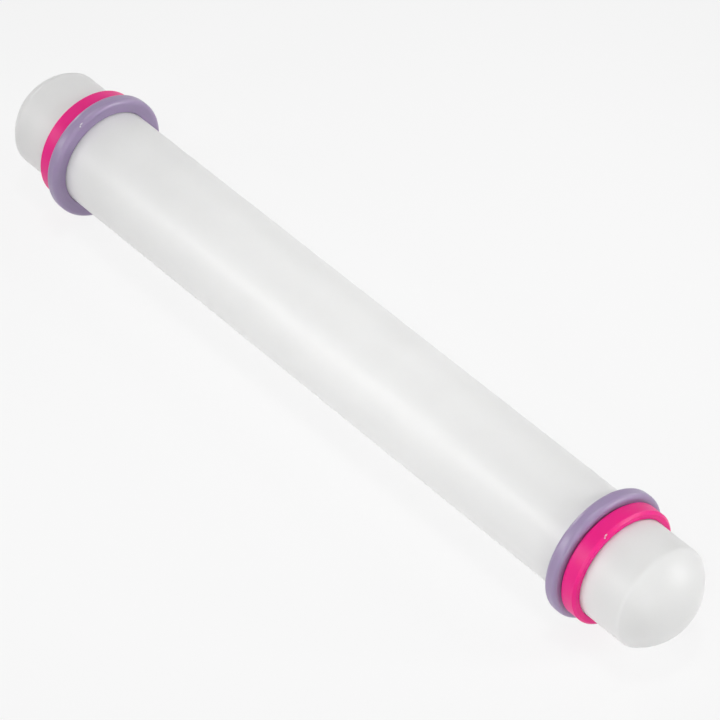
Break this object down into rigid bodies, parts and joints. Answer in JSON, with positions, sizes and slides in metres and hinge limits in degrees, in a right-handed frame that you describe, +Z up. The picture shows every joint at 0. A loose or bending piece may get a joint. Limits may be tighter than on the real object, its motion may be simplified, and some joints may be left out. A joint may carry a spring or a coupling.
{
  "type": "fondant rolling pin",
  "caption": "Short handle-less rolling pin: a hollow white roller with domed ends, and a thick and a thin slip-on guide ring near each end that set the thickness of the rolled paste.",
  "frame": {"origin": "middle of the roller, on its axis", "axes": "+X along the roller's axis, towards the right end cap; +Z up, with the pin lying on its two thick guide rings; +Y across"},
  "size_m": [0.2286, 0.0322, 0.0322],
  "materials": {
    "roller_white": "satin",
    "ring_lavender": "satin",
    "ring_magenta": "satin"
  },
  "bodies": {
    "roller": {"barrel_tube": "roller_white", "right_end_cap": "roller_white", "left_end_cap": "roller_white"},
    "right_thick_ring": {"right_thick_guide_ring": "ring_lavender"},
    "left_thick_ring": {"left_thick_guide_ring": "ring_lavender"},
    "right_thin_ring": {"right_thin_guide_ring": "ring_magenta"},
    "left_thin_ring": {"left_thin_guide_ring": "ring_magenta"}
  },
  "joints": [
    {"name": "right_thick_ring_slide", "type": "slide", "parent": "roller", "child": "right_thick_ring", "axis": [1, 0, 0], "range_m": [-0.0821, 0.0287]},
    {"name": "right_thin_ring_slide", "type": "slide", "parent": "right_thick_ring", "child": "right_thin_ring", "axis": [1, 0, 0], "range_m": [0, 0.025]},
    {"name": "left_thick_ring_slide", "type": "slide", "parent": "roller", "child": "left_thick_ring", "axis": [-1, 0, 0], "range_m": [-0.0817, 0.0291]},
    {"name": "left_thin_ring_slide", "type": "slide", "parent": "left_thick_ring", "child": "left_thin_ring", "axis": [-1, 0, 0], "range_m": [0, 0.0254]}
  ]
}
